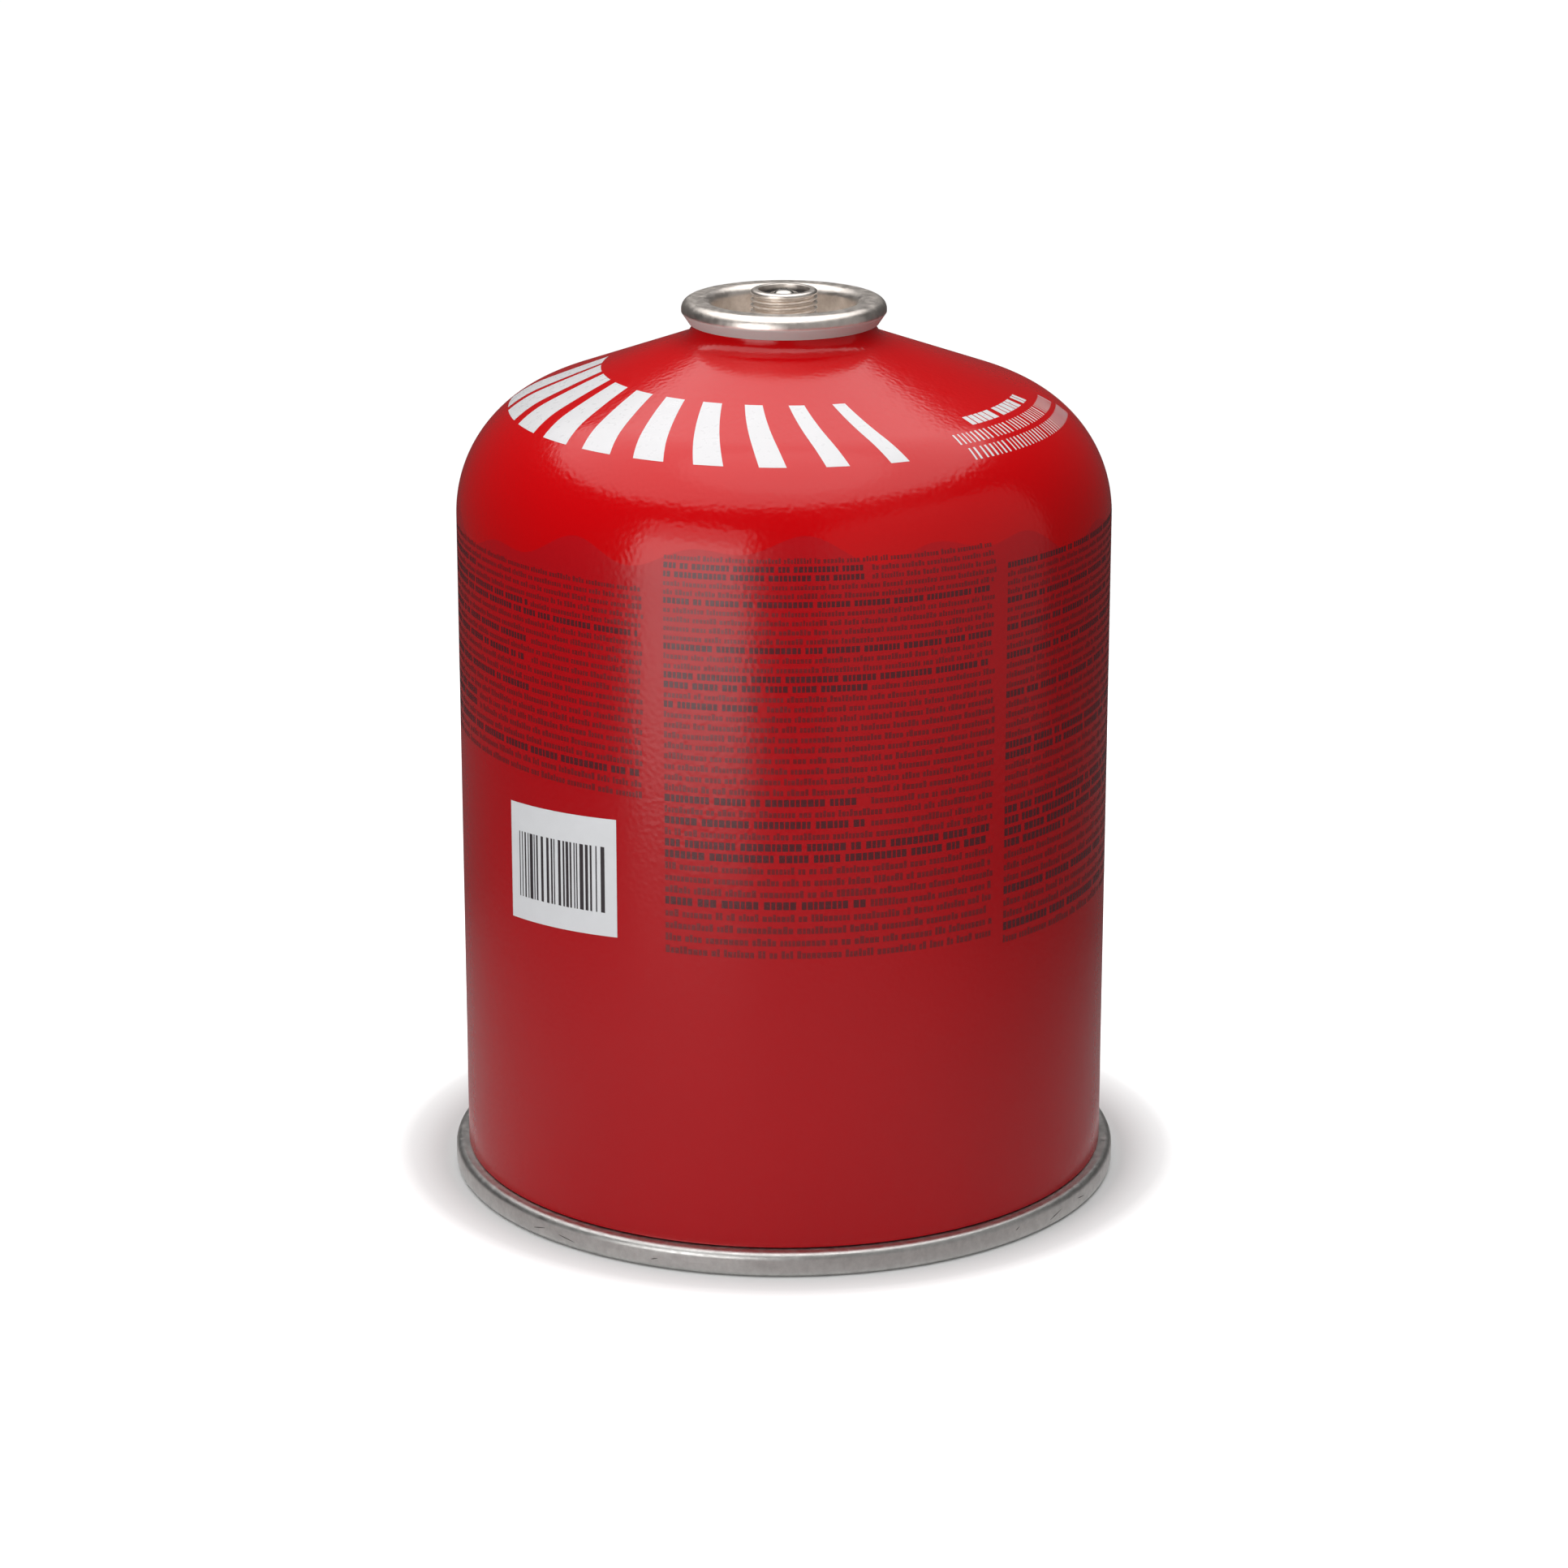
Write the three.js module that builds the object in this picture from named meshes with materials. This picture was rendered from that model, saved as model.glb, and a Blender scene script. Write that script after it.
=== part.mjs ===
// Self-sealing screw-valve gas canister, standing upright.
// Units are millimetres, Z points up, and the origin is the middle of the foot on the ground.
import * as THREE from 'three';

// Can body: a drawn steel shell, filled and closed for good
const bodyRadius = 55;
const wallTop = 115.65;
const shoulderRadius = 22;
const coneAngle = 20;
const neckRadius = 15.15;
const neckFillet = 3.6;
const curlOverhang = 1.25;
const curlHeight = 1.9;
const curlRound = 0.6;
const curlDepth = 2.45;

// Base end: a pressed disc with a domed panel, folded round the foot of the body as a seam
const seamStep = 2.2;
const seamHeight = 4.2;
const seamTopRound = 1.2;
const seamFootRound = 1;
const footWidth = 1.1;
const footInnerRound = 0.5;
const chuckWallLean = 0.5;
const panelHeight = 4.6;
const panelRound = 1.2;
const panelRise = 8;
const endSheet = 0.4;

// Valve cup: one pressing with a rim crimped over the neck, a channel and a threaded boss
const cupSheet = 0.4;
const rimRound = 1.7;
const skirtReach = 0.5;
const channelDepth = 5.3;
const channelRound = 1.1;
const bossRadius = 11.11 / 2;
const bossHeight = 6.87;
const bossWall = 1;
const bossFootRound = 0.7;
const crownRound = 0.55;
const lipOverhang = 0.3;
const lipDepth = 0.75;

// Valve pieces inside the boss, and the gasket under the rim
const gasketThickness = 0.5;
const sealThickness = 1.5;
const stemRadius = 2.45;
const stemSetback = 0.1;
const stemChamfer = 0.25;
const stemTailRadius = 1.6;
const stemTailLength = 3.2;
const collarWidth = 0.85;
const collarThickness = 1;
const housingFloor = 1;
const housingReach = 3.6;

// Clearance between pieces that touch
const fitGap = 0.3;

// Number of facets round the wide pieces, and round the cup and what is in it
const wideFacets = 64;
const cupFacets = 48;
const smallFacets = 32;

const radians = (degrees) => (degrees * Math.PI) / 180;
const point = (radius, height) => new THREE.Vector2(radius, height);

// Points of an arc in the section, angles in degrees from the outward direction
function arc(centreRadius, centreHeight, radius, fromAngle, toAngle, steps) {
  const points = [];
  for (let step = 0; step <= steps; step += 1) {
    const angle = radians(fromAngle + ((toAngle - fromAngle) * step) / steps);
    points.push(point(centreRadius + radius * Math.cos(angle), centreHeight + radius * Math.sin(angle)));
  }
  return points;
}

// A section turned round the Z axis; it runs up the outside and comes back on the inside
function turned(name, section, facets, material) {
  const geometry = new THREE.LatheGeometry(section, facets);
  geometry.rotateX(Math.PI / 2);
  const mesh = new THREE.Mesh(geometry, material);
  mesh.name = name;
  return mesh;
}

// A closed section ends where it began
const closed = (points) => [...points, points[0].clone()];

// Heights of the body, from the ground up
const coneStartRadius = bodyRadius - shoulderRadius * (1 - Math.sin(radians(coneAngle)));
const coneStartHeight = wallTop + shoulderRadius * Math.cos(radians(coneAngle));
const neckCorner = coneStartHeight + (coneStartRadius - neckRadius) * Math.tan(radians(coneAngle));
const neckTop = neckCorner + neckFillet / Math.tan(radians(45 + coneAngle / 2));
const curlRadius = neckRadius + curlOverhang;
const openingRadius = neckRadius - curlDepth;
const curlTop = neckTop + curlHeight;

// Section of the base end's panel: a shallow dome inside an upright wall
const seamRadius = bodyRadius + seamStep;
const footOuter = seamRadius - seamFootRound;
const footInner = footOuter - footWidth;
const chuckRadius = footInner - footInnerRound - chuckWallLean;
const panelRadius = chuckRadius - panelRound;
const domeRadius = (panelRadius ** 2 + panelRise ** 2) / (2 * panelRise);
const domeSpan = (Math.asin(panelRadius / domeRadius) * 180) / Math.PI;

// The panel's line from the axis out to its edge, raised by an amount
function panelLine(raise) {
  const centre = panelHeight + panelRise - domeRadius + raise;
  const line = arc(0, centre, domeRadius, 90, 90 - domeSpan, 8);
  line[0].x = 0;
  return line;
}

// Valve cup: sizes that follow from the neck that it is crimped on
const rimRadius = curlRadius + fitGap + cupSheet;
const rimTop = curlTop + fitGap + gasketThickness + fitGap + cupSheet;
const cupWallRadius = openingRadius - fitGap;
const channelRadius = cupWallRadius - cupSheet;
const channelFloor = rimTop - channelDepth;
const cupUnderside = channelFloor - cupSheet;
const skirtBottom = neckTop - skirtReach;
const neckAtSkirt = neckRadius + neckFillet - Math.sqrt(neckFillet ** 2 - skirtReach ** 2);
const skirtInner = neckAtSkirt + fitGap;
const skirtTop = rimTop - rimRound - cupSheet;
const bossTop = channelFloor + bossHeight;
const bossBore = bossRadius - bossWall;
const lipRadius = bossBore - lipOverhang;

// Valve: sizes that follow from the boss
const sealTop = bossTop - lipDepth - fitGap;
const sealBottom = sealTop - sealThickness;
const collarTop = sealBottom - fitGap;
const collarRadius = stemRadius + collarWidth;
const stemTop = bossTop - stemSetback;
const tailBottom = collarTop - collarThickness - stemTailLength;
const housingRadius = bossBore - fitGap;
const housingTop = collarTop;
const housingBottom = Math.min(cupUnderside - housingReach, tailBottom - fitGap - housingFloor);
const housingLedge = collarTop - collarThickness - fitGap;

const redLacquer = new THREE.MeshStandardMaterial({ color: 0xb4101c, roughness: 0.32, metalness: 0.1 });
const greyTinplate = new THREE.MeshStandardMaterial({ color: 0xb4b1ac, roughness: 0.42, metalness: 0.9 });
const brightTinplate = new THREE.MeshStandardMaterial({ color: 0xcfc6bd, roughness: 0.25, metalness: 1 });
const blackRubber = new THREE.MeshStandardMaterial({ color: 0x1b1719, roughness: 0.7, metalness: 0 });
const turnedSteel = new THREE.MeshStandardMaterial({ color: 0xdedad4, roughness: 0.22, metalness: 1 });
const paleNylon = new THREE.MeshStandardMaterial({ color: 0xd8d6cf, roughness: 0.5, metalness: 0 });

// Body: wall, round shoulder, cone and neck, with the curl that the cup grips
function canBody() {
  const filletCentre = neckRadius + neckFillet;
  const section = [
    ...panelLine(endSheet + fitGap),
    point(chuckRadius + endSheet, seamHeight + fitGap),
    point(bodyRadius, seamHeight + fitGap),
    ...arc(bodyRadius - shoulderRadius, wallTop, shoulderRadius, 0, 90 - coneAngle, 9),
    ...arc(filletCentre, neckTop, neckFillet, 270 - coneAngle, 180, 4),
    point(curlRadius, neckTop + curlOverhang),
    ...arc(curlRadius - curlRound, curlTop - curlRound, curlRound, 0, 90, 2),
    ...arc(openingRadius + curlRound, curlTop - curlRound, curlRound, 90, 180, 2),
    point(openingRadius, cupUnderside - fitGap),
    point(bossBore, cupUnderside - fitGap),
    point(bossBore, housingBottom - fitGap),
    point(0, housingBottom - fitGap),
  ];
  return turned('can_body', section, wideFacets, redLacquer);
}

// Base end: foot and seam outside, upright wall and dome inside
function baseEnd() {
  const section = [
    ...panelLine(0),
    ...arc(panelRadius, panelHeight - panelRound, panelRound, 90, 0, 3).slice(1),
    point(footInner - footInnerRound, footInnerRound),
    point(footInner, 0),
    ...arc(footOuter, seamFootRound, seamFootRound, 270, 360, 4),
    ...arc(seamRadius - seamTopRound, seamHeight - seamTopRound, seamTopRound, 0, 90, 4),
    point(chuckRadius + endSheet, seamHeight),
    ...panelLine(endSheet).reverse(),
  ];
  return turned('base_end', section, wideFacets, greyTinplate);
}

// Cup: the skirt, the rim's crown, the channel and the boss outside, then the inner face back down
function valveCup() {
  const innerRound = rimRound - cupSheet;
  const rimCentre = rimTop - rimRound;
  const outerLine = [
    point(skirtInner + cupSheet, skirtBottom),
    point(rimRadius, skirtTop),
    ...arc(rimRadius - rimRound, rimCentre, rimRound, 0, 90, 5),
    ...arc(channelRadius + rimRound, rimCentre, rimRound, 90, 180, 5),
    ...arc(channelRadius - channelRound, channelFloor + channelRound, channelRound, 360, 270, 3),
    ...arc(bossRadius + bossFootRound, channelFloor + bossFootRound, bossFootRound, 270, 180, 2),
    ...arc(bossRadius - crownRound, bossTop - crownRound, crownRound, 0, 90, 3),
    point(lipRadius, bossTop),
  ];
  const innerLine = [
    point(lipRadius, bossTop - lipDepth),
    point(bossBore, bossTop - lipDepth),
    point(bossBore, cupUnderside),
    ...arc(cupWallRadius - channelRound, cupUnderside + channelRound, channelRound, 270, 360, 3),
    ...arc(cupWallRadius + innerRound, rimCentre, innerRound, 180, 90, 3),
    ...arc(rimRadius - rimRound, rimCentre, innerRound, 90, 0, 3),
    point(rimRadius - cupSheet, skirtTop),
    point(skirtInner, skirtBottom),
  ];
  return turned('valve_cup', closed([...outerLine, ...innerLine]), cupFacets, brightTinplate);
}

// Gasket that lies on the curl, under the crown of the rim
function rimGasket() {
  const outer = rimRadius - rimRound;
  const inner = channelRadius + rimRound;
  const bottom = curlTop + fitGap;
  const top = bottom + gasketThickness;
  const section = closed([point(inner, bottom), point(outer, bottom), point(outer, top), point(inner, top)]);
  return turned('rim_gasket', section, cupFacets, blackRubber);
}

// Ring that seals the stem, held between the lip of the boss and the housing
function valveSeal() {
  const inner = stemRadius + fitGap;
  const section = closed([
    point(inner, sealBottom),
    point(housingRadius, sealBottom),
    point(housingRadius, sealTop),
    point(inner, sealTop),
  ]);
  return turned('valve_seal', section, cupFacets, blackRubber);
}

// Stem: a turned pin with a collar that stops against the seal
function valveStem() {
  const section = [
    point(0, tailBottom),
    point(stemTailRadius, tailBottom),
    point(stemTailRadius, collarTop - collarThickness),
    point(collarRadius, collarTop - collarThickness),
    point(collarRadius, collarTop),
    point(stemRadius, collarTop),
    point(stemRadius, stemTop - stemChamfer),
    point(stemRadius - stemChamfer, stemTop),
    point(0, stemTop),
  ];
  return turned('valve_stem', section, smallFacets, turnedSteel);
}

// Housing: a moulded cup pressed into the boss from below, which carries the stem
function valveHousing() {
  const tailBore = stemTailRadius + fitGap;
  const collarBore = collarRadius + fitGap;
  const boreBottom = tailBottom - fitGap;
  const section = [
    point(0, housingBottom),
    point(housingRadius, housingBottom),
    point(housingRadius, housingTop),
    point(collarBore, housingTop),
    point(collarBore, housingLedge),
    point(tailBore, housingLedge),
    point(tailBore, boreBottom),
    point(0, boreBottom),
  ];
  return turned('valve_housing', section, smallFacets, paleNylon);
}

const group = new THREE.Group();
group.add(canBody(), baseEnd(), valveCup(), rimGasket(), valveSeal(), valveStem(), valveHousing());

export default group;
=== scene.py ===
"""Looks of the screw-valve gas canister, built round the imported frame."""

import bisect
import math
import random

import bpy
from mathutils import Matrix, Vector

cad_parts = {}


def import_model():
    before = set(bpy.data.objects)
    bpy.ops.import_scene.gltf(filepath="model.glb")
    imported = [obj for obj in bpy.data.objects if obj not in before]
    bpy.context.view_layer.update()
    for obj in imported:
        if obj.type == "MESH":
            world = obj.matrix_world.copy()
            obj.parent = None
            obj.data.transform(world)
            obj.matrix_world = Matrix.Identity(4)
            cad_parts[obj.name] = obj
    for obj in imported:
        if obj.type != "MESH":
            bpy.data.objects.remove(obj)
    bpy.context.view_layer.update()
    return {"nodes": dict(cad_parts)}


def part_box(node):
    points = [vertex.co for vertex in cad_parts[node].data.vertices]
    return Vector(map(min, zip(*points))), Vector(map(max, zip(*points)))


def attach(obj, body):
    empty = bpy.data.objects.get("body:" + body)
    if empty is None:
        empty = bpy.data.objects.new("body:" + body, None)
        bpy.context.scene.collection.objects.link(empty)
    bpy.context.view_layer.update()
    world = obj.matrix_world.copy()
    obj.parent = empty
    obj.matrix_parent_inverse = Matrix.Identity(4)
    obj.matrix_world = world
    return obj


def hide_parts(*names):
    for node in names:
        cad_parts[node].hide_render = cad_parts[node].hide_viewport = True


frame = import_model()
scene = bpy.context.scene

MM = 0.001
TURN = 2 * math.pi


# Sizes in millimetres, from the frame where it holds them

def node_box(name):
    """The lowest and the highest corner of a node's box."""
    low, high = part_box(name)
    return [value / MM for value in low], [value / MM for value in high]


_, body_high = node_box("can_body")
_, end_high = node_box("base_end")
_, cup_high = node_box("valve_cup")
seal_low, seal_high = node_box("valve_seal")
stem_low, stem_high = node_box("valve_stem")

BODY_RADIUS = body_high[0]
SEAM_RADIUS = end_high[0]
RIM_RADIUS = cup_high[0]
BOSS_TOP = cup_high[2]

CURL_TOP = body_high[2]
STEM_TOP = stem_high[2]
SEAL_TOP = seal_high[2]

WALL_TOP = 115.65
SHOULDER_RADIUS = 22
CONE_ANGLE = math.radians(20)
NECK_RADIUS = 15.15
NECK_FILLET = 3.6
CURL_OVERHANG = 1.25
CURL_DEPTH = 2.45
CURL_ROUND = 0.6
CURL_RADIUS = NECK_RADIUS + CURL_OVERHANG
OPENING_RADIUS = NECK_RADIUS - CURL_DEPTH
FIT_GAP = 0.3

SEAM_HEIGHT = 4.2
SEAM_TOP_ROUND = 1.2
SEAM_FOOT_ROUND = 1.0
FOOT_WIDTH = 1.1
FOOT_INNER_ROUND = 0.5
CHUCK_WALL_LEAN = 0.5
CHUCK_RADIUS = SEAM_RADIUS - SEAM_FOOT_ROUND - FOOT_WIDTH - FOOT_INNER_ROUND - CHUCK_WALL_LEAN
PANEL_HEIGHT = 4.6
PANEL_ROUND = 1.2
PANEL_RISE = 8
END_SHEET = 0.4

CUP_SHEET = 0.4
RIM_ROUND = 1.7
SKIRT_REACH = 0.5
CHANNEL_DEPTH = 5.3
CHANNEL_ROUND = 1.1
CHANNEL_RADIUS = OPENING_RADIUS - FIT_GAP - CUP_SHEET
BOSS_RADIUS = 11.11 / 2
BOSS_HEIGHT = 6.87
BOSS_WALL = 1
BOSS_BORE = BOSS_RADIUS - BOSS_WALL
BOSS_FOOT_ROUND = 0.7
CROWN_ROUND = 0.55
LIP_OVERHANG = 0.3
LIP_RADIUS = BOSS_BORE - LIP_OVERHANG
LIP_DEPTH = 0.75
LIP_ROUND = 0.15
CHANNEL_FLOOR = BOSS_TOP - BOSS_HEIGHT
RIM_TOP = CHANNEL_FLOOR + CHANNEL_DEPTH
THREAD_PITCH = 25.4 / 28
THREAD_DEPTH = 0.5
THREAD_FADE_FOOT = 0.5
THREAD_FADE_HEAD = 0.25

STEM_RADIUS = 2.45
STEM_TAIL_RADIUS = 1.6
STEM_COLLAR = 1

ROUND_SEGMENTS = 256
CUP_SEGMENTS = 192
SMALL_SEGMENTS = 96
THREAD_STEPS = 110


# Sections: lists of (radius, height) in millimetres

def arc(centre_radius, centre_height, radius, from_angle, to_angle, steps):
    points = []
    for step in range(steps + 1):
        angle = math.radians(from_angle + (to_angle - from_angle) * step / steps)
        points.append((centre_radius + radius * math.cos(angle), centre_height + radius * math.sin(angle)))
    return points


def straight(start, end, steps):
    """Points from start to end, without the last one."""
    return [
        (start[0] + (end[0] - start[0]) * step / steps, start[1] + (end[1] - start[1]) * step / steps)
        for step in range(steps)
    ]


CONE_START_RADIUS = BODY_RADIUS - SHOULDER_RADIUS * (1 - math.sin(CONE_ANGLE))
CONE_START_HEIGHT = WALL_TOP + SHOULDER_RADIUS * math.cos(CONE_ANGLE)
NECK_CORNER = CONE_START_HEIGHT + (CONE_START_RADIUS - NECK_RADIUS) * math.tan(CONE_ANGLE)
NECK_TOP = NECK_CORNER + NECK_FILLET / math.tan(math.radians(45) + CONE_ANGLE / 2)
SKIRT_BOTTOM = NECK_TOP - SKIRT_REACH

PANEL_RADIUS = CHUCK_RADIUS - PANEL_ROUND
DOME_RADIUS = (PANEL_RADIUS ** 2 + PANEL_RISE ** 2) / (2 * PANEL_RISE)
DOME_SPAN = math.degrees(math.asin(PANEL_RADIUS / DOME_RADIUS))


def panel_line(raised):
    """The base panel's line from the axis out to its edge."""
    centre = PANEL_HEIGHT + PANEL_RISE - DOME_RADIUS + raised
    line = arc(0, centre, DOME_RADIUS, 90, 90 - DOME_SPAN, 24)
    return [(0, line[0][1])] + line[1:]


def outer_line():
    """The body's painted outside, from the foot of the wall up to the top of the neck."""
    cone_degrees = math.degrees(CONE_ANGLE)
    fillet = arc(NECK_RADIUS + NECK_FILLET, NECK_TOP, NECK_FILLET, 270 - cone_degrees, 180, 14)
    shoulder = arc(BODY_RADIUS - SHOULDER_RADIUS, WALL_TOP, SHOULDER_RADIUS, 0, 90 - cone_degrees, 40)
    foot = (BODY_RADIUS, SEAM_HEIGHT + FIT_GAP)
    return straight(foot, shoulder[0], 40) + shoulder[:-1] + straight(shoulder[-1], fillet[0], 16) + fillet


def body_section():
    return (
        panel_line(END_SHEET + FIT_GAP)
        + [(CHUCK_RADIUS + END_SHEET, SEAM_HEIGHT + FIT_GAP)]
        + outer_line()
        + [(CURL_RADIUS, NECK_TOP + CURL_OVERHANG)]
        + arc(CURL_RADIUS - CURL_ROUND, CURL_TOP - CURL_ROUND, CURL_ROUND, 0, 90, 4)
        + arc(OPENING_RADIUS + CURL_ROUND, CURL_TOP - CURL_ROUND, CURL_ROUND, 90, 180, 4)
        + [(OPENING_RADIUS, CHANNEL_FLOOR - CUP_SHEET - FIT_GAP), (0, CHANNEL_FLOOR - CUP_SHEET - FIT_GAP)]
    )


def end_section():
    chuck_foot = SEAM_RADIUS - SEAM_FOOT_ROUND - FOOT_WIDTH
    return (
        panel_line(0)
        + arc(PANEL_RADIUS, PANEL_HEIGHT - PANEL_ROUND, PANEL_ROUND, 90, 0, 8)[1:]
        + arc(chuck_foot, FOOT_INNER_ROUND, FOOT_INNER_ROUND, 180, 270, 6)
        + arc(SEAM_RADIUS - SEAM_FOOT_ROUND, SEAM_FOOT_ROUND, SEAM_FOOT_ROUND, 270, 360, 10)
        + arc(SEAM_RADIUS - SEAM_TOP_ROUND, SEAM_HEIGHT - SEAM_TOP_ROUND, SEAM_TOP_ROUND, 0, 90, 12)
        + [(CHUCK_RADIUS + END_SHEET, SEAM_HEIGHT)]
        + panel_line(END_SHEET)[::-1]
    )


def cup_section():
    inner_round = RIM_ROUND - CUP_SHEET
    rim_centre = RIM_TOP - RIM_ROUND
    skirt_top = RIM_TOP - RIM_ROUND - CUP_SHEET
    neck_at_skirt = NECK_RADIUS + NECK_FILLET - math.sqrt(NECK_FILLET ** 2 - SKIRT_REACH ** 2)
    skirt_inner = neck_at_skirt + FIT_GAP
    underside = CHANNEL_FLOOR - CUP_SHEET
    wall_radius = CHANNEL_RADIUS + CUP_SHEET
    thread_foot = (BOSS_RADIUS, CHANNEL_FLOOR + BOSS_FOOT_ROUND)
    thread_head = (BOSS_RADIUS, BOSS_TOP - CROWN_ROUND)
    outside = (
        [(skirt_inner + CUP_SHEET, SKIRT_BOTTOM)]
        + straight((skirt_inner + CUP_SHEET, SKIRT_BOTTOM + 0.02), (RIM_RADIUS, skirt_top), 6)[1:]
        + [(RIM_RADIUS, skirt_top)]
        + arc(RIM_RADIUS - RIM_ROUND, rim_centre, RIM_ROUND, 0, 90, 16)
        + arc(CHANNEL_RADIUS + RIM_ROUND, rim_centre, RIM_ROUND, 90, 180, 16)
        + arc(CHANNEL_RADIUS - CHANNEL_ROUND, CHANNEL_FLOOR + CHANNEL_ROUND, CHANNEL_ROUND, 360, 270, 10)
        + arc(BOSS_RADIUS + BOSS_FOOT_ROUND, CHANNEL_FLOOR + BOSS_FOOT_ROUND, BOSS_FOOT_ROUND, 270, 180, 6)
        + straight(thread_foot, thread_head, THREAD_STEPS)[1:]
        + arc(BOSS_RADIUS - CROWN_ROUND, BOSS_TOP - CROWN_ROUND, CROWN_ROUND, 0, 90, 10)
        + arc(LIP_RADIUS + LIP_ROUND, BOSS_TOP - LIP_ROUND, LIP_ROUND, 90, 180, 4)
    )
    inside = (
        [(LIP_RADIUS, BOSS_TOP - LIP_DEPTH), (BOSS_BORE, BOSS_TOP - LIP_DEPTH), (BOSS_BORE, underside)]
        + arc(wall_radius - CHANNEL_ROUND, underside + CHANNEL_ROUND, CHANNEL_ROUND, 270, 360, 8)
        + arc(wall_radius + inner_round, rim_centre, inner_round, 180, 90, 8)
        + arc(RIM_RADIUS - RIM_ROUND, rim_centre, inner_round, 90, 0, 8)
        + [(RIM_RADIUS - CUP_SHEET, skirt_top), (skirt_inner, SKIRT_BOTTOM)]
    )
    return outside + inside


# Meshes

def add_object(name, vertices, faces, material, uvs=None):
    mesh = bpy.data.meshes.new(name)
    mesh.from_pydata([tuple(value * MM for value in vertex) for vertex in vertices], [], faces)
    if uvs:
        layer = mesh.uv_layers.new(name="around_and_up")
        for loop_index, uv in enumerate(uvs):
            layer.data[loop_index].uv = uv
    mesh.materials.append(material)
    mesh.polygons.foreach_set("use_smooth", [True] * len(mesh.polygons))
    obj = bpy.data.objects.new(name, mesh)
    scene.collection.objects.link(obj)
    return obj


def turned(name, section, segments, material, closed=False, shape=None, sharp=40):
    """A section turned round Z; the UV is the share of the turn and the height in centimetres."""
    count = len(section)
    on_axis = [abs(radius) < 1e-6 for radius, _ in section]
    vertices = []
    rings = []
    for index, (radius, height) in enumerate(section):
        if on_axis[index]:
            rings.append([len(vertices)] * segments)
            vertices.append((0.0, 0.0, height))
            continue
        ring = []
        for step in range(segments):
            angle = TURN * step / segments
            r, z = shape(radius, height, angle) if shape else (radius, height)
            ring.append(len(vertices))
            vertices.append((r * math.sin(angle), -r * math.cos(angle), z))
        rings.append(ring)
    faces = []
    uvs = []
    last = count if closed else count - 1
    for index in range(last):
        after = (index + 1) % count
        low, high = section[index][1] / 10, section[after][1] / 10
        for step in range(segments):
            following = (step + 1) % segments
            left, right = step / segments, (step + 1) / segments
            corners = [
                (rings[index][step], (left, low)),
                (rings[index][following], (right, low)),
                (rings[after][following], (right, high)),
                (rings[after][step], (left, high)),
            ]
            kept = []
            for corner in corners:
                if corner[0] not in [other[0] for other in kept]:
                    kept.append(corner)
            if len(kept) < 3:
                continue
            faces.append([corner[0] for corner in kept])
            uvs.extend(corner[1] for corner in kept)
    obj = add_object(name, vertices, faces, material, uvs)
    obj.data.set_sharp_from_angle(angle=math.radians(sharp))
    return obj


# Materials

class Nodes:
    """Short names for the node calls that the materials repeat."""

    def __init__(self, name):
        self.material = bpy.data.materials.new(name)
        self.material.use_nodes = True
        self.tree = self.material.node_tree
        self.shader = self.tree.nodes["Principled BSDF"]

    def add(self, kind, **values):
        node = self.tree.nodes.new(kind)
        for key, value in values.items():
            setattr(node, key, value)
        return node

    def link(self, source, target):
        self.tree.links.new(source, target)

    def math(self, operation, first, second=0.0, third=0.0):
        node = self.add("ShaderNodeMath", operation=operation)
        for socket, value in zip(node.inputs, (first, second, third)):
            if isinstance(value, (int, float)):
                socket.default_value = value
            else:
                self.link(value, socket)
        return node.outputs[0]

    def noise(self, vector, scale, detail, roughness=0.55):
        node = self.add("ShaderNodeTexNoise")
        node.inputs["Scale"].default_value = scale
        node.inputs["Detail"].default_value = detail
        node.inputs["Roughness"].default_value = roughness
        self.link(vector, node.inputs["Vector"])
        return node.outputs["Fac"]

    def mapped(self, vector, scale):
        node = self.add("ShaderNodeMapping")
        node.inputs["Scale"].default_value = scale
        self.link(vector, node.inputs["Vector"])
        return node.outputs["Vector"]

    def between(self, value, low_in, high_in, low_out, high_out):
        node = self.add("ShaderNodeMapRange")
        keys = ("From Min", "From Max", "To Min", "To Max")
        for key, number in zip(keys, (low_in, high_in, low_out, high_out)):
            node.inputs[key].default_value = number
        self.link(value, node.inputs["Value"])
        return node.outputs["Result"]

    def mix(self, factor, first, second):
        node = self.add("ShaderNodeMix", data_type="RGBA")
        self.link(factor, node.inputs["Factor"])
        for socket, value in ((node.inputs[6], first), (node.inputs[7], second)):
            if isinstance(value, tuple):
                socket.default_value = (*value, 1.0)
            else:
                self.link(value, socket)
        return node.outputs[2]

    def distance(self, vector, centre):
        node = self.add("ShaderNodeVectorMath", operation="DISTANCE")
        self.link(vector, node.inputs[0])
        node.inputs[1].default_value = centre
        return node.outputs["Value"]

    def bump(self, height, distance, strength, normal=None):
        node = self.add("ShaderNodeBump")
        node.inputs["Strength"].default_value = strength
        node.inputs["Distance"].default_value = distance
        self.link(height, node.inputs["Height"])
        if normal:
            self.link(normal, node.inputs["Normal"])
        return node.outputs["Normal"]


def around_and_up(nodes):
    """The UV, the share of the turn and the height in centimetres."""
    uv = nodes.add("ShaderNodeUVMap", uv_map="around_and_up")
    parts = nodes.add("ShaderNodeSeparateXYZ")
    nodes.link(uv.outputs["UV"], parts.inputs[0])
    return uv.outputs["UV"], parts.outputs[0], parts.outputs[1]


BRIGHT_RED = (0.585, 0.0002, 0.002)
FIELD_RED = (0.475, 0.003, 0.007)
CLOUD_RED = (0.2, 0.002, 0.004)
BRIGHT_ROUGHNESS = 0.16
FIELD_ROUGHNESS = 0.22

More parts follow.
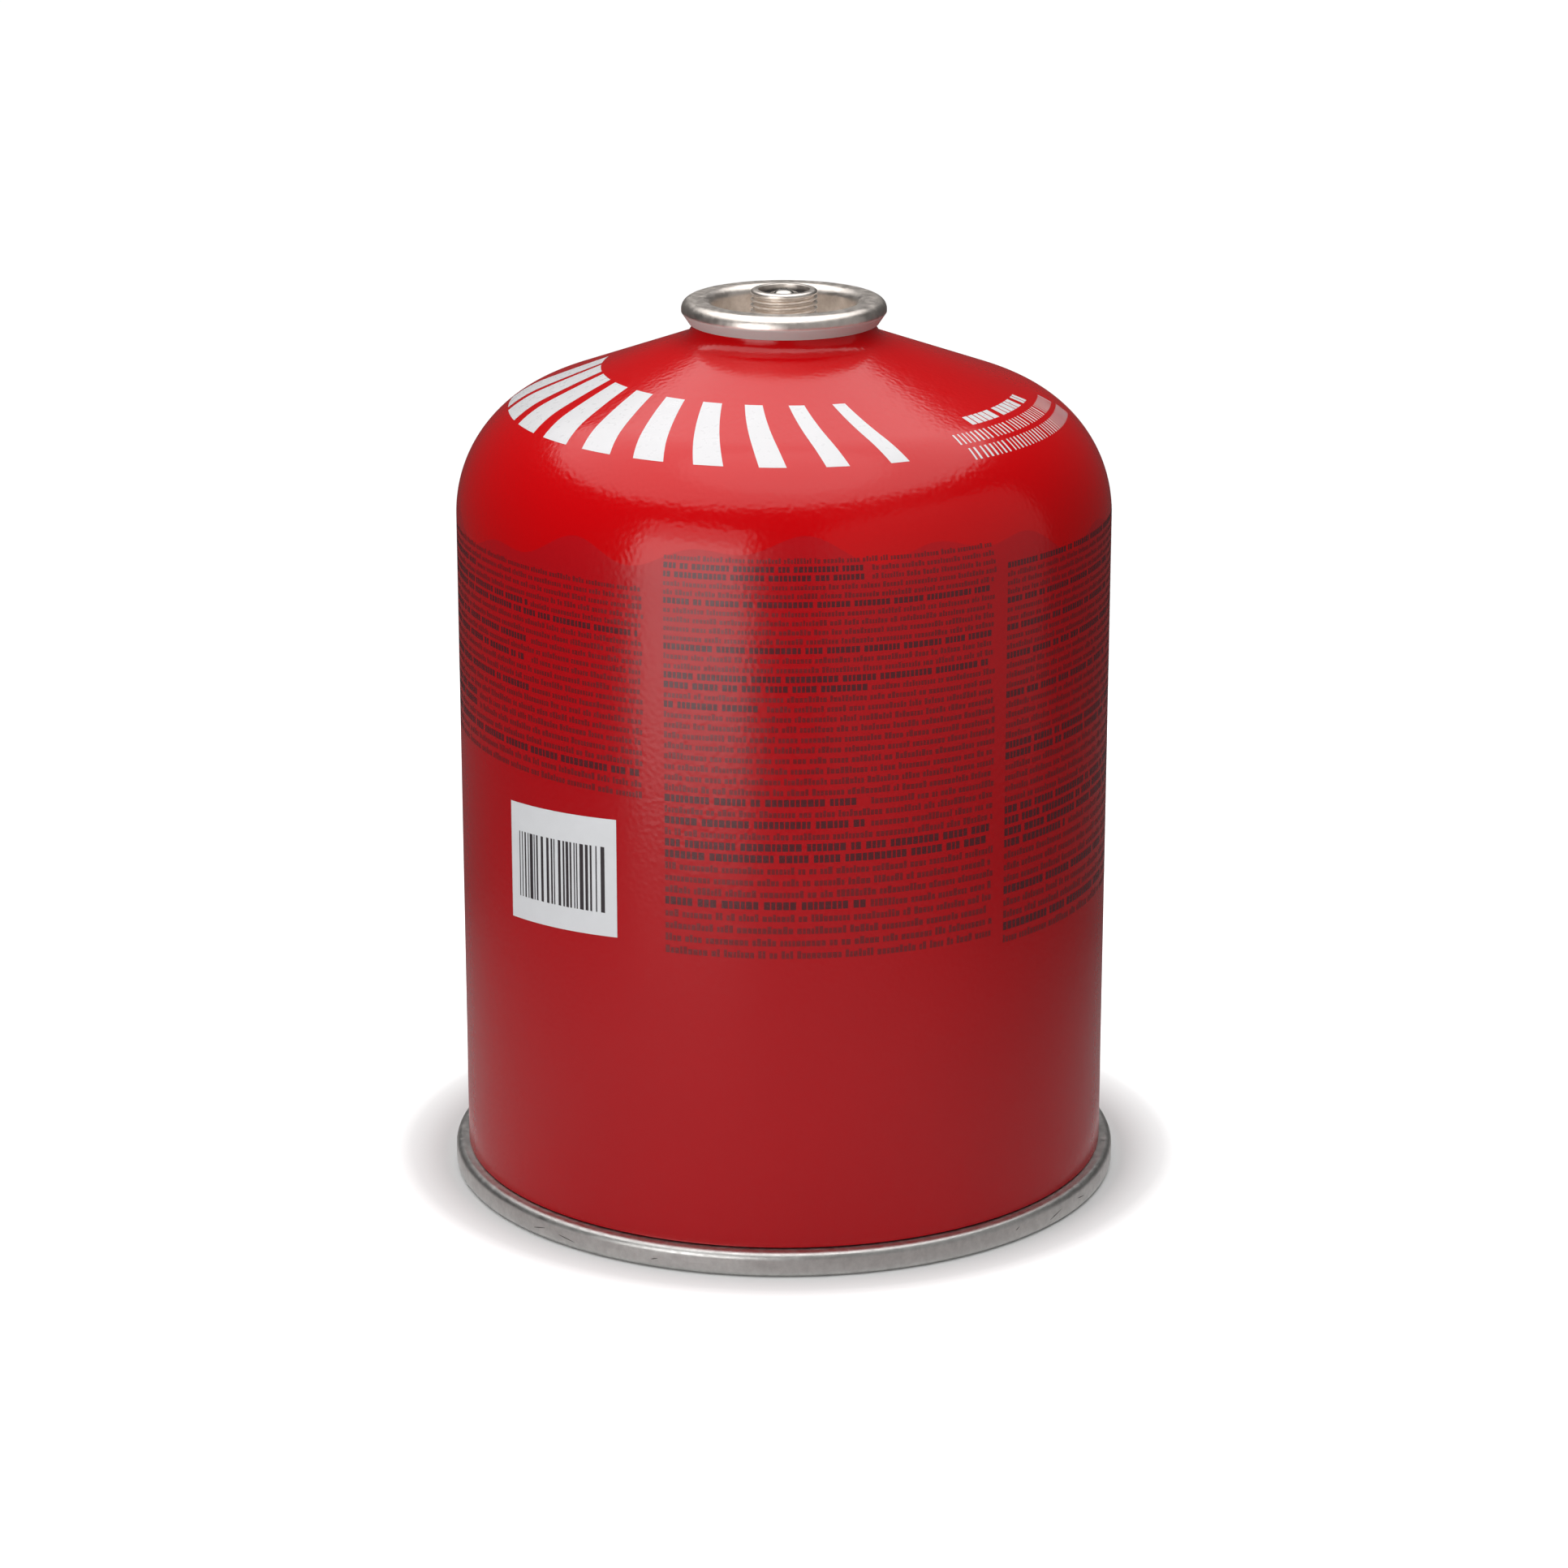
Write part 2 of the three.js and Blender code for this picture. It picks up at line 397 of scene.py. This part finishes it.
# The printed field's upper edge: its middle height and each wave's swing are in centimetres
FIELD_EDGE = 11.9
FIELD_WAVES = ((2, 1.4, 0.3), (9, 1.73, 0.12), (17, 0.19, 0.13))


def wave_edge(nodes, around):
    """Height of the rolling line where the printed field begins."""
    edge = None
    for waves, phase, swing in FIELD_WAVES:
        angle = nodes.math("MULTIPLY_ADD", around, TURN * waves, phase)
        wave = nodes.math("MULTIPLY", nodes.math("SINE", angle), swing)
        edge = wave if edge is None else nodes.math("ADD", edge, wave)
    return nodes.math("ADD", edge, FIELD_EDGE)


def red_lacquer():
    """Glossy lacquer above the edge, and the darker, softer printed field below it."""
    nodes = Nodes("red_lacquer")
    uv, around, up = around_and_up(nodes)
    place = nodes.add("ShaderNodeTexCoord").outputs["Object"]
    below = nodes.math("SUBTRACT", wave_edge(nodes, around), up)
    field = nodes.between(below, -0.012, 0.012, 0.0, 1.0)
    plain = nodes.mix(field, BRIGHT_RED, FIELD_RED)
    cloud = nodes.between(nodes.noise(place, 35.0, 1.0), 0.3, 0.7, 0.0, 0.06)
    colour = nodes.mix(cloud, plain, CLOUD_RED)
    nodes.link(colour, nodes.shader.inputs["Base Color"])
    smear = nodes.noise(nodes.mapped(uv, (60.0, 2.2, 1.0)), 5.0, 1.0)
    satin = nodes.between(field, 0.0, 1.0, BRIGHT_ROUGHNESS, FIELD_ROUGHNESS)
    rough = nodes.math("ADD", satin, nodes.between(smear, 0.3, 0.7, -0.015, 0.03))
    nodes.link(rough, nodes.shader.inputs["Roughness"])
    nodes.shader.inputs["Specular IOR Level"].default_value = 0.4
    grain = nodes.math("MULTIPLY", nodes.noise(place, 1300.0, 0.0), 0.00006)
    uneven = nodes.math("MULTIPLY_ADD", nodes.noise(place, 60.0, 1.0), 0.00006, grain)
    nodes.link(nodes.bump(uneven, 1.0, 0.45), nodes.shader.inputs["Normal"])
    return nodes.material


# A cyan tint on the skirt's tin, painted to cancel the red that the dome reflects into it
PAINTED_TIN_AGAINST_RED_REFLECTION = (0.55, 0.72, 0.69)


def tinplate(name, colour, dark, rough, scratch, wavy, dull_and_painted_tint=None):
    """Bare sheet metal: blotches, fine lines and an uneven face.

    The last argument is two heights in centimetres and a radius in metres: below and outside them the face is
    rougher and less metallic, and its colour takes a cyan tint painted to cancel the red that the dome
    reflects into it.
    """
    nodes = Nodes(name)
    uv, _, up = around_and_up(nodes)
    place = nodes.add("ShaderNodeTexCoord").outputs["Object"]
    blotch = nodes.between(nodes.noise(place, 700.0, 5.0, 0.65), 0.35, 0.7, 0.0, 1.0)
    tone = nodes.mix(blotch, colour, dark)
    nodes.shader.inputs["Metallic"].default_value = 1.0
    grain = nodes.noise(place, 900.0, 3.0)
    rough_grain = nodes.between(grain, 0.3, 0.7, rough - 0.06, rough + 0.08)
    if dull_and_painted_tint:
        bottom, top, inner = dull_and_painted_tint
        low = nodes.between(up, bottom, top, 1.0, 0.0)
        from_axis = nodes.distance(nodes.mapped(place, (1.0, 1.0, 0.0)), (0.0, 0.0, 0.0))
        matt_and_painted_tint = nodes.math("MULTIPLY", low, nodes.between(from_axis, inner, inner * 1.02, 0.0, 1.0))
        nodes.link(nodes.math("MULTIPLY_ADD", matt_and_painted_tint, -0.6, 1.0), nodes.shader.inputs["Metallic"])
        # Painted against reflection: the cyan tint takes the dome's red reflection out of the skirt's colour
        tone = nodes.mix(matt_and_painted_tint, tone, PAINTED_TIN_AGAINST_RED_REFLECTION)
        rough_grain = nodes.math("MULTIPLY_ADD", matt_and_painted_tint, 0.25, rough_grain)
    nodes.link(tone, nodes.shader.inputs["Base Color"])
    nodes.link(rough_grain, nodes.shader.inputs["Roughness"])
    lines = nodes.noise(nodes.mapped(uv, (14.0, 3.0, 1.0)), 8.0, 4.0)
    drawn = nodes.bump(lines, 0.00004, scratch)
    uneven = nodes.bump(nodes.noise(place, 110.0, 2.0), 0.0005, wavy, drawn)
    nodes.link(uneven, nodes.shader.inputs["Normal"])
    return nodes.material


def plain_finish(name, colour, rough, metallic=0.0, mottle=0.5):
    """One colour, slightly mottled, with a fine grain."""
    nodes = Nodes(name)
    place = nodes.add("ShaderNodeTexCoord").outputs["Object"]
    darker = tuple(value * 0.75 for value in colour)
    tone = nodes.between(nodes.noise(place, 300.0, 3.0), 0.3, 0.7, 0.0, mottle)
    nodes.link(nodes.mix(tone, colour, darker), nodes.shader.inputs["Base Color"])
    speck = nodes.noise(place, 900.0, 3.0)
    rough_grain = nodes.between(speck, 0.3, 0.7, rough - 0.05, rough + 0.07)
    nodes.link(rough_grain, nodes.shader.inputs["Roughness"])
    nodes.link(nodes.bump(speck, 0.00003, 0.4), nodes.shader.inputs["Normal"])
    nodes.shader.inputs["Metallic"].default_value = metallic
    return nodes.material


# The crimped skirt under the rim: up to these heights, and out from this radius, its face is rougher and less
# metallic, with a cyan tint painted to cancel the dome's red reflection
SKIRT_FACE = ((NECK_TOP + 1.2) / 10, (NECK_TOP + 1.5) / 10, 14.6 * MM)

LACQUER = red_lacquer()
BRIGHT_TIN = tinplate("bright_tinplate", (0.9, 0.83, 0.77), (0.74, 0.67, 0.61), 0.36, 0.3, 0.2, SKIRT_FACE)
GREY_TIN = tinplate("grey_tinplate", (0.66, 0.65, 0.63), (0.54, 0.53, 0.515), 0.4, 0.5, 0.12)
RUBBER = plain_finish("black_rubber", (0.014, 0.01, 0.011), 0.7)
STEEL = plain_finish("turned_steel", (0.66, 0.62, 0.58), 0.24, metallic=1.0)
NYLON = plain_finish("pale_nylon", (0.8, 0.79, 0.75), 0.45)
WHITE_INK = plain_finish("white_ink", (0.72, 0.71, 0.72), 0.3, mottle=0.1)
FINE_INK = plain_finish("fine_ink", (0.2, 0.009, 0.012), 0.26)
BOLD_INK = plain_finish("bold_ink", (0.1, 0.012, 0.016), 0.26)
LABEL_PAPER = plain_finish("label_paper", (0.84, 0.85, 0.87), 0.5, mottle=0.12)
BAR_INK = plain_finish("bar_ink", (0.035, 0.025, 0.03), 0.5)
SCRATCHED = plain_finish("scratched_tin", (0.09, 0.085, 0.08), 0.55)


# The pieces

def thread(radius, height, angle):
    """Cuts a right-hand thread into the side of the boss, fading out at both ends.

    The groove is a wave with slanted flanks, cut flat at its crest and at its root.
    """
    foot = CHANNEL_FLOOR + BOSS_FOOT_ROUND
    head = BOSS_TOP - CROWN_ROUND
    if abs(radius - BOSS_RADIUS) > 0.001 or not foot < height < head:
        return radius, height
    phase = (height / THREAD_PITCH - angle / TURN) % 1.0
    groove = min(1.0, max(0.0, 1.6 * (1 - abs(2 * phase - 1)) - 0.3))
    fade = min(1.0, (height - foot) / THREAD_FADE_FOOT, (head - height) / THREAD_FADE_HEAD)
    return radius - THREAD_DEPTH * groove * fade, height


shell = turned("can_shell", body_section(), ROUND_SEGMENTS, LACQUER)
base = turned("base_seam", end_section(), ROUND_SEGMENTS, GREY_TIN)
cup = turned("crimped_cup", cup_section(), CUP_SEGMENTS, BRIGHT_TIN, closed=True, shape=thread)

seal_radius = seal_high[0]
seal_bore = STEM_RADIUS + FIT_GAP
seal = turned(
    "mouth_seal",
    [
        (seal_bore, seal_low[2]),
        (seal_radius, seal_low[2]),
        (seal_radius, SEAL_TOP),
        (seal_radius - 0.5, SEAL_TOP),
        (seal_bore + 0.1, SEAL_TOP - 0.12),
        (seal_bore, SEAL_TOP - 0.3),
    ],
    SMALL_SEGMENTS,
    RUBBER,
    closed=True,
)
collar_top = seal_low[2] - FIT_GAP
stem = turned(
    "stem_pin",
    [
        (0, stem_low[2]),
        (STEM_TAIL_RADIUS, stem_low[2]),
        (STEM_TAIL_RADIUS, collar_top - STEM_COLLAR),
        (stem_high[0], collar_top - STEM_COLLAR),
        (stem_high[0], collar_top),
        (STEM_RADIUS, collar_top),
        (STEM_RADIUS, STEM_TOP - 0.75),
        (STEM_RADIUS - 0.2, STEM_TOP - 0.6),
        (1.75, STEM_TOP - 0.6),
        (1.62, STEM_TOP - 0.45),
        (1.4, STEM_TOP - 0.24),
        (1.05, STEM_TOP - 0.09),
        (0.6, STEM_TOP),
        (0, STEM_TOP),
    ],
    SMALL_SEGMENTS,
    STEEL,
)

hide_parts("can_body")
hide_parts("base_end")
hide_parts("valve_cup")
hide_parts("valve_seal")
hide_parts("valve_stem")
for piece, slot in (
    (shell, "red_lacquer"),
    (base, "grey_tinplate"),
    (cup, "bright_tinplate"),
    (seal, "black_rubber"),
    (stem, "turned_steel"),
):
    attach(piece, "root")

for node, material in (("rim_gasket", RUBBER), ("valve_housing", NYLON)):
    cad_object = frame["nodes"][node]
    cad_object.data.materials.clear()
    cad_object.data.materials.append(material)


# Print: flat shapes laid on the painted outside, each kind lifted off it by a little

WHITE_LIFT = 0.02
FINE_LIFT = 0.012
BOLD_LIFT = 0.014
LABEL_LIFT = 0.06
BARS_LIFT = 0.075

LINE = outer_line()
LENGTHS = [0.0]
for (r0, z0), (r1, z1) in zip(LINE, LINE[1:]):
    LENGTHS.append(LENGTHS[-1] + math.hypot(r1 - r0, z1 - z0))


def on_can(degrees, length, lift):
    """A point on the painted outside: degrees to the right of the front, length up the line from the foot."""
    index = min(max(bisect.bisect_right(LENGTHS, length) - 1, 0), len(LINE) - 2)
    share = (length - LENGTHS[index]) / (LENGTHS[index + 1] - LENGTHS[index])
    (r0, z0), (r1, z1) = LINE[index], LINE[index + 1]
    span = math.hypot(r1 - r0, z1 - z0)
    radius = r0 + (r1 - r0) * share + lift * (z1 - z0) / span
    height = z0 + (z1 - z0) * share - lift * (r1 - r0) / span
    angle = math.radians(degrees)
    return radius * math.sin(angle), -radius * math.cos(angle), height


def length_at_height(height):
    """How far up the line a height on the wall lies."""
    return height - LINE[0][1]


def length_at_radius(radius):
    """How far up the line a radius on the cone or shoulder lies."""
    for index in range(len(LINE) - 1):
        r0, r1 = LINE[index][0], LINE[index + 1][0]
        if r1 <= radius < r0:
            share = (r0 - radius) / (r0 - r1)
            return LENGTHS[index] + share * (LENGTHS[index + 1] - LENGTHS[index])
    raise ValueError("no such radius on the line")


class Print:
    """Collects patches on the can's outside into one mesh."""

    def __init__(self, lift):
        self.lift = lift
        self.vertices = []
        self.faces = []

    def patch(self, bottom, top, left, right, lean=0.0, columns=1, rows=1, rise=0.0):
        """A patch between two lengths and two angles.

        Lean turns its top end by that many degrees, and rise lifts its right end by that much.
        """
        first = len(self.vertices)
        for row in range(rows + 1):
            share = row / rows
            length = bottom + (top - bottom) * share
            for column in range(columns + 1):
                across = column / columns
                degrees = left + (right - left) * across + lean * share
                self.vertices.append(on_can(degrees, length + rise * across, self.lift))
        width = columns + 1
        for row in range(rows):
            for column in range(columns):
                corner = first + row * width + column
                self.faces.append([corner, corner + 1, corner + width + 1, corner + width])

    def finish(self, name, material):
        obj = add_object(name, self.vertices, self.faces, material)
        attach(obj, "root")


# Slanted stripes on the cone and shoulder, widest at the left
STRIPE_COUNT = 10
STRIPES_LEFT = -98
STRIPES_RIGHT = 35
STRIPE_WIDEST = 10.5
STRIPE_NARROWEST = 4.0
STRIPE_LEAN = -7
STRIPE_OUTER_RADIUS = 46
STRIPE_INNER_RADIUS = 30.5
stripes = Print(WHITE_LIFT)
stripe_bottom = length_at_radius(STRIPE_OUTER_RADIUS)
stripe_top = length_at_radius(STRIPE_INNER_RADIUS)
stripe_step = (STRIPES_RIGHT - STRIPES_LEFT) / STRIPE_COUNT
for number in range(STRIPE_COUNT):
    share = number / (STRIPE_COUNT - 1)
    stripe_width = STRIPE_WIDEST + (STRIPE_NARROWEST - STRIPE_WIDEST) * share
    left = STRIPES_LEFT + number * stripe_step
    right = left + stripe_width
    stripes.patch(stripe_bottom, stripe_top, left, right, STRIPE_LEAN, columns=10, rows=16)
stripes.finish("white_stripes", WHITE_INK)


# One source of random numbers for all the print, so that it comes out the same each time
chance = random.Random(4)

EVEN = (1.0,)
UNEVEN = (1.0, 1.0, 1.0, 1.35)


def words(printed, left, right, base_length, height, letter, gap, radius, shares, rows=1):
    """A line of words as small blocks, one for each letter, with no letterforms.

    Left and right are in degrees, letter is the widest block, and a block's height is one of the
    shares of the given height.
    """
    place = left
    while place < right:
        letters = chance.randint(2, 11)
        for _ in range(letters):
            width = letter * chance.uniform(0.55, 1.0)
            tall = height * chance.choice(shares)
            turn = math.degrees(width / radius)
            if place + turn > right:
                return
            printed.patch(base_length, base_length + tall, place, place + turn, rows=rows)
            place += turn + math.degrees(gap / radius)
        place += math.degrees(letter * 0.7 / radius)


# Three short lines of small white blocks, to the right of the stripes:
# radius of the line's foot, widest block, gap, and left and right end in degrees
SMALL_HEIGHT = 2.5
SMALL_ROWS = 6
SMALL_LINES = (
    (41.0, 1.7, 0.3, 48, 79),
    (44.5, 0.5, 0.7, 39.5, 87),
    (47.3, 0.5, 0.7, 40.5, 88),
)
small = Print(WHITE_LIFT)
for radius, letter, gap, left, right in SMALL_LINES:
    base_length = length_at_radius(radius)
    words(small, left, right, base_length, SMALL_HEIGHT, letter, gap, radius, EVEN, SMALL_ROWS)
small.finish("small_white_print", WHITE_INK)


# Columns of fine dark print on the wall: left and right edge in degrees, first and last line's height.
# The lines stand closer together towards the top, and some begin with bold words or are all bold.
STEP_AT_FOOT = 2.15
STEP_AT_TOP = 1.4
FOOT_LINE = 52.5
TOP_LINE = 119.0
COLUMNS = (
    (-84.0, -23.9, 114.6, 79.5),
    (-20.3, 38.0, 120.3, 53.7),
    (40.6, 101.0, 116.3, 53.0),
)
BOLD_CHANCE = 0.34
BOLD_SHARES = (0.3, 0.6, 1.0, 1.0)
BOLD_MARGIN = 0.8

# The blocks' height and widest width as shares of the step between lines, and the gap between them
BOLD_HEIGHT = 0.65
BOLD_WIDTH = 0.5
BOLD_GAP = 0.2
FINE_HEIGHT = 0.45
FINE_WIDTH = 0.35
FINE_GAP = 0.17
LINE_DROP = 0.2
fine = Print(FINE_LIFT)
bold = Print(BOLD_LIFT)
for left, right, first, last in COLUMNS:
    height = first
    while height > last:
        share = (height - FOOT_LINE) / (TOP_LINE - FOOT_LINE)
        step = STEP_AT_FOOT + (STEP_AT_TOP - STEP_AT_FOOT) * share
        base_length = length_at_height(height) - step * LINE_DROP
        split = left
        if chance.random() < BOLD_CHANCE:
            split = left + (right - left) * chance.choice(BOLD_SHARES)
            end = split - BOLD_MARGIN
            tall, wide = step * BOLD_HEIGHT, step * BOLD_WIDTH
            words(bold, left, end, base_length, tall, wide, BOLD_GAP, BODY_RADIUS, EVEN)
        if split < right:
            tall, wide = step * FINE_HEIGHT, step * FINE_WIDTH
            words(fine, split, right, base_length, tall, wide, FINE_GAP, BODY_RADIUS, UNEVEN)
        height -= step
fine.finish("fine_print", FINE_INK)
bold.finish("bold_print", BOLD_INK)


# Stuck-on label with a plain pattern of bars, not quite level; widths are in degrees, heights in
# millimetres
LABEL_LEFT = -54.5
LABEL_RIGHT = -29.4
LABEL_BOTTOM = 54.2
LABEL_TOP = 74.2
LABEL_RISE = 1.6
BARS_BOTTOM = 58.2
BARS_TOP = 69.4
BARS_MARGIN = 2.4
BAR_WIDTHS = (0.25, 0.25, 0.4, 0.6, 0.8)
BAR_GAPS = (0.3, 0.4, 0.5, 0.8)
label = Print(LABEL_LIFT)
bottom, top = length_at_height(LABEL_BOTTOM), length_at_height(LABEL_TOP)
label.patch(bottom, top, LABEL_LEFT, LABEL_RIGHT, columns=24, rows=12, rise=LABEL_RISE)
label.finish("paper_label", LABEL_PAPER)
bars = Print(BARS_LIFT)
place = LABEL_LEFT + BARS_MARGIN
while place < LABEL_RIGHT - BARS_MARGIN:
    width = chance.choice(BAR_WIDTHS)
    lifted = LABEL_RISE * (place - LABEL_LEFT) / (LABEL_RIGHT - LABEL_LEFT)
    bottom, top = length_at_height(BARS_BOTTOM + lifted), length_at_height(BARS_TOP + lifted)
    bars.patch(bottom, top, place, place + width, rows=4)
    place += width + chance.choice(BAR_GAPS)
bars.finish("label_bars", BAR_INK)


# Short dark scratches on the seam: where each begins, in degrees and height, its length and its rise
SCRATCH_LIFT = 0.012
SCRATCHES = (
    (-47.0, 1.5, 2.8, 0.7),
    (-41.0, 1.9, 3.6, -0.5),
    (-22.5, 1.6, 1.2, 0.3),
    (42.5, 2.2, 0.9, 0.5),
    (51.5, 1.4, 3.4, 0.9),
    (60.5, 2.3, 2.6, -0.4),
)
# Share of the scratch's length, and half its width there
SCRATCH_SHAPE = ((0.0, 0.03), (0.35, 0.09), (0.7, 0.07), (1.0, 0.02))
scratch_corners = []
scratch_faces = []
for degrees, height, length, rise in SCRATCHES:
    first = len(scratch_corners)
    radius = SEAM_RADIUS + SCRATCH_LIFT
    for share, half in SCRATCH_SHAPE:
        angle = math.radians(degrees) + share * length / SEAM_RADIUS
        middle = height + rise * share
        for z in (middle - half, middle + half):
            scratch_corners.append((radius * math.sin(angle), -radius * math.cos(angle), z))
    for step in range(len(SCRATCH_SHAPE) - 1):
        corner = first + 2 * step
        scratch_faces.append([corner, corner + 2, corner + 3, corner + 1])
scratches = add_object("seam_scratches", scratch_corners, scratch_faces, SCRATCHED)
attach(scratches, "root")


# Floor and world

FLOOR_RADIUS = 320
FLOOR_CORNERS = 128
FLOOR_WHITE = 1.22


def floor():
    """A round sheet that glows white for the camera, except near the seam, where the glow fades out: a
    painted shadow ring that the real cast shadow deepens.
    """
    nodes = Nodes("floor")
    place = nodes.add("ShaderNodeTexCoord").outputs["Object"]
    # Painted shadow ring: out to 75 mm round the seam the camera glow fades away, so the floor is grey there
    # even where lamps reach it
    painted_seam_shadow = nodes.between(nodes.distance(place, (0, 0.003, 0)), 0.0595, 0.075, 1.0, 0.0)
    # Painted pool of light: the sheet's colour is paler in front of the can and darker further off, for the
    # can to reflect and to be lit by
    painted_floor_light = nodes.between(nodes.distance(place, (-0.02, -0.1, 0)), 0.1, 0.25, 0.5, 0.1)
    tone = nodes.math("MAXIMUM", nodes.math("MULTIPLY", painted_seam_shadow, 0.76), painted_floor_light)
    nodes.link(tone, nodes.shader.inputs["Base Color"])
    nodes.shader.inputs["Roughness"].default_value = 0.9
    nodes.shader.inputs["Specular IOR Level"].default_value = 0.0
    nodes.shader.inputs["Emission Color"].default_value = (1.0, 1.0, 1.0, 1.0)
    white = nodes.math("MULTIPLY_ADD", painted_seam_shadow, -FLOOR_WHITE, FLOOR_WHITE)
    seen = nodes.add("ShaderNodeLightPath").outputs["Is Camera Ray"]
    nodes.link(nodes.math("MULTIPLY", seen, white), nodes.shader.inputs["Emission Strength"])
    edge = []
    for step in range(FLOOR_CORNERS):
        angle = TURN * step / FLOOR_CORNERS
        edge.append((FLOOR_RADIUS * math.cos(angle), FLOOR_RADIUS * math.sin(angle), 0))
    obj = add_object("floor", edge, [list(range(FLOOR_CORNERS))], nodes.material)


# How much of the white world each kind of ray sees, on top of the faint light that all rays get
WORLD_LIGHT = 0.03
WORLD_SHARES = (("Is Camera Ray", 1.0), ("Is Glossy Ray", 0.03), ("Is Transmission Ray", 1.0))


def world():
    """White for the camera and in transmission, and dim in reflections."""
    background = bpy.data.worlds.new("studio")
    background.use_nodes = True
    tree = background.node_tree
    shade = tree.nodes["Background"]
    light_path = tree.nodes.new("ShaderNodeLightPath")
    strength = None
    for ray, share in WORLD_SHARES:
        part = tree.nodes.new("ShaderNodeMath")
        part.operation = "MULTIPLY_ADD"
        tree.links.new(light_path.outputs[ray], part.inputs[0])
        part.inputs[1].default_value = share
        part.inputs[2].default_value = WORLD_LIGHT
        if strength:
            tree.links.new(strength, part.inputs[2])
        strength = part.outputs[0]
    tree.links.new(strength, shade.inputs["Strength"])
    shade.inputs["Color"].default_value = (1.0, 1.0, 1.0, 1.0)
    scene.world = background


def softbox(name, place, target, width, depth, radiance, shape="RECTANGLE", mirrored=True):
    """A flat lamp; radiance 1 looks white, and it can be left out of reflections."""
    lamp = bpy.data.lights.new(name, "AREA")
    lamp.shape = shape
    lamp.size = width
    if shape == "RECTANGLE":
        lamp.size_y = depth
    area = width * depth * (math.pi / 4 if shape == "DISK" else 1)
    lamp.energy = radiance * math.pi * area
    obj = bpy.data.objects.new(name, lamp)
    obj.location = place
    direction = [there - here for here, there in zip(place, target)]
    flat = math.hypot(direction[0], direction[1])
    obj.rotation_euler = (
        math.pi / 2 + math.atan2(direction[2], flat),
        0,
        math.atan2(direction[1], direction[0]) - math.pi / 2,
    )
    obj.visible_glossy = mirrored
    scene.collection.objects.link(obj)


floor()
world()
softbox("overhead", (-0.12, 0.2, 0.85), (-0.12, 0.2, 0.0), 1.5, 1.5, 1.75, "DISK")
softbox("front_left", (-0.58, -0.93, 0.0), (0.0, 0.0, 0.0), 0.8, 1.12, 1.5)
softbox("front_left_tall", (-0.59, -0.95, 0.16), (0.0, 0.0, 0.16), 0.8, 1.44, 1.3)
softbox("overhead_core", (0.0, -0.04, 0.84), (0.0, -0.04, 0.0), 0.6, 0.6, 0.7, "DISK")
softbox("fill_right", (0.665, -0.44, 0.22), (0.0, 0.0, 0.22), 1.51, 1.25, 0.24)
softbox("fill_high", (0.5, -0.5, 1.05), (0.0, 0.0, 0.1), 0.8, 0.8, 0.85, mirrored=False)
softbox("fill_low", (0.4, -0.97, 0.25), (0.0, 0.0, 0.1), 0.8, 0.8, 0.35, mirrored=False)
softbox("fill_back", (0.1, 1.05, 0.35), (0.0, 0.0, 0.1), 0.9, 0.9, 0.9, mirrored=False)


# Camera: the photograph's view, fitted to the can's outline

FOCAL_PIXELS = 5765
PHOTO_PIXELS = 1932
CAMERA_BACK = 765.7
CAMERA_HEIGHT = 302.8
CAMERA_PITCH = 17.11

camera_data = bpy.data.cameras.new("camera")
camera_data.sensor_width = 36
camera_data.lens = FOCAL_PIXELS / PHOTO_PIXELS * camera_data.sensor_width
camera_data.clip_start = 0.05
camera = bpy.data.objects.new("camera", camera_data)
camera.location = (0, -CAMERA_BACK * MM, CAMERA_HEIGHT * MM)
camera.rotation_euler = (math.radians(90 - CAMERA_PITCH), 0, 0)
scene.collection.objects.link(camera)
scene.camera = camera
scene.view_settings.view_transform = "Standard"
